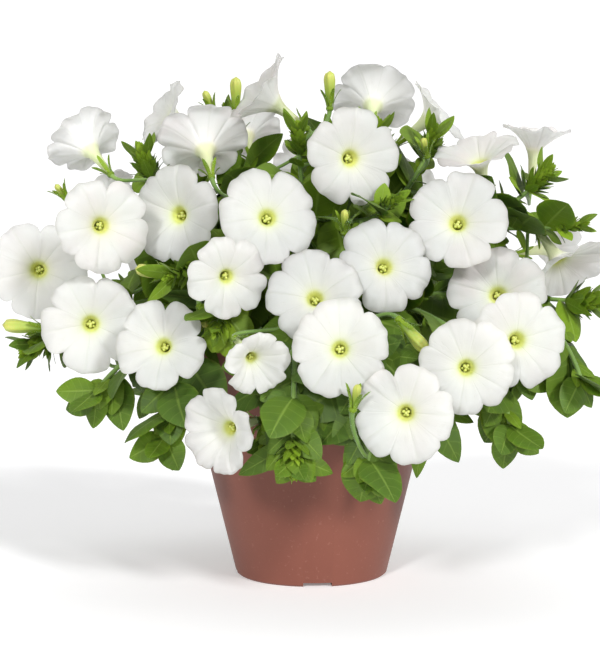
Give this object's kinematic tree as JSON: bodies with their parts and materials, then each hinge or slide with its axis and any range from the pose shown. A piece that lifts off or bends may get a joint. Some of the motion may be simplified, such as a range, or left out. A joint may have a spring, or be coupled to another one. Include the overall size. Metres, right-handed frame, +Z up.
{
  "type": "potted petunia",
  "caption": "Bushy petunia in full bloom, with white trumpet blooms and soft green leaves, growing in a tapered terracotta-coloured nursery pot that stands on its flat base.",
  "frame": {"origin": "centre of the pot's underside, on the surface that the pot stands on", "axes": "+Z up along the pot's axis; -Y towards the viewer, the side with the most blooms; +X to the viewer's right"},
  "size_m": [0.4161, 0.3481, 0.3579],
  "materials": {
    "pot_plastic": "satin",
    "peat": "matte",
    "leaf": "matte",
    "petal": "matte"
  },
  "bodies": {
    "root": {"pot": "pot_plastic", "peat": "peat", "leafy_stem_01": "leaf", "leafy_stem_02": "leaf", "leafy_stem_03": "leaf", "leafy_stem_04": "leaf", "leafy_stem_05": "leaf", "leafy_stem_06": "leaf", "leafy_stem_07": "leaf", "leafy_stem_08": "leaf", "leafy_stem_09": "leaf", "leafy_stem_10": "leaf", "leafy_stem_11": "leaf", "leafy_stem_12": "leaf", "leafy_stem_13": "leaf", "leafy_stem_14": "leaf", "leafy_stem_15": "leaf", "leafy_stem_16": "leaf", "bloom_01": "petal", "bloom_02": "petal", "bloom_03": "petal", "bloom_04": "petal", "bloom_05": "petal", "bloom_06": "petal", "bloom_07": "petal", "bloom_08": "petal", "bloom_09": "petal", "bloom_10": "petal", "bloom_11": "petal", "bloom_12": "petal", "bloom_13": "petal", "bloom_14": "petal", "bloom_15": "petal", "bloom_16": "petal", "bloom_17": "petal", "bloom_18": "petal", "bloom_19": "petal", "bloom_20": "petal", "bloom_21": "petal", "bloom_22": "petal", "bloom_23": "petal", "bloom_24": "petal", "bloom_25": "petal", "bloom_26": "petal", "bloom_27": "petal", "bloom_28": "petal", "bloom_29": "petal", "bloom_30": "petal", "bloom_31": "petal", "bloom_32": "petal", "bloom_33": "petal", "bloom_34": "petal", "bloom_35": "petal", "bloom_36": "petal", "bloom_37": "petal", "bloom_38": "petal", "bloom_39": "petal", "bloom_40": "petal", "bloom_41": "petal", "bloom_42": "petal"}
  },
  "joints": []
}
